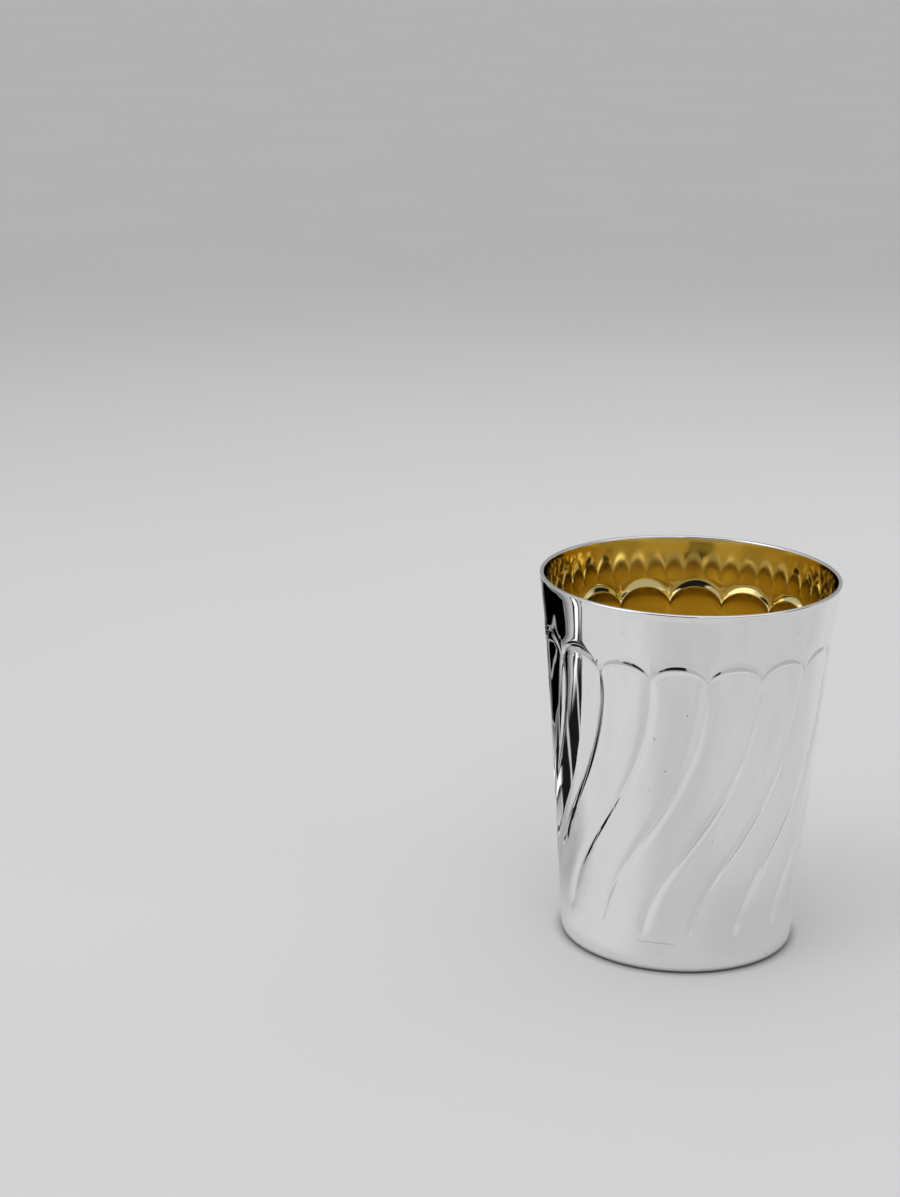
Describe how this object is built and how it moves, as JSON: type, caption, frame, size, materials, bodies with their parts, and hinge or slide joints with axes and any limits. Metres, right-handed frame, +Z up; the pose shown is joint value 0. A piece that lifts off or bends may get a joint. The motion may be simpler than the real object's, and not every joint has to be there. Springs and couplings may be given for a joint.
{
  "type": "kiddush cup",
  "caption": "Tapering silver kiddush cup, gilt inside, with swirling lobes under a row of round arches, a plain rim band and a flat base to stand on.",
  "frame": {"origin": "middle of the flat underside, on the surface the cup stands on", "axes": "+Z up along the cup's axis, -Y towards the side that the picture shows"},
  "size_m": [0.065, 0.065, 0.082],
  "materials": {
    "silver": "polished",
    "gilding": "polished"
  },
  "bodies": {
    "root": {"cup_body": "silver"}
  },
  "joints": []
}
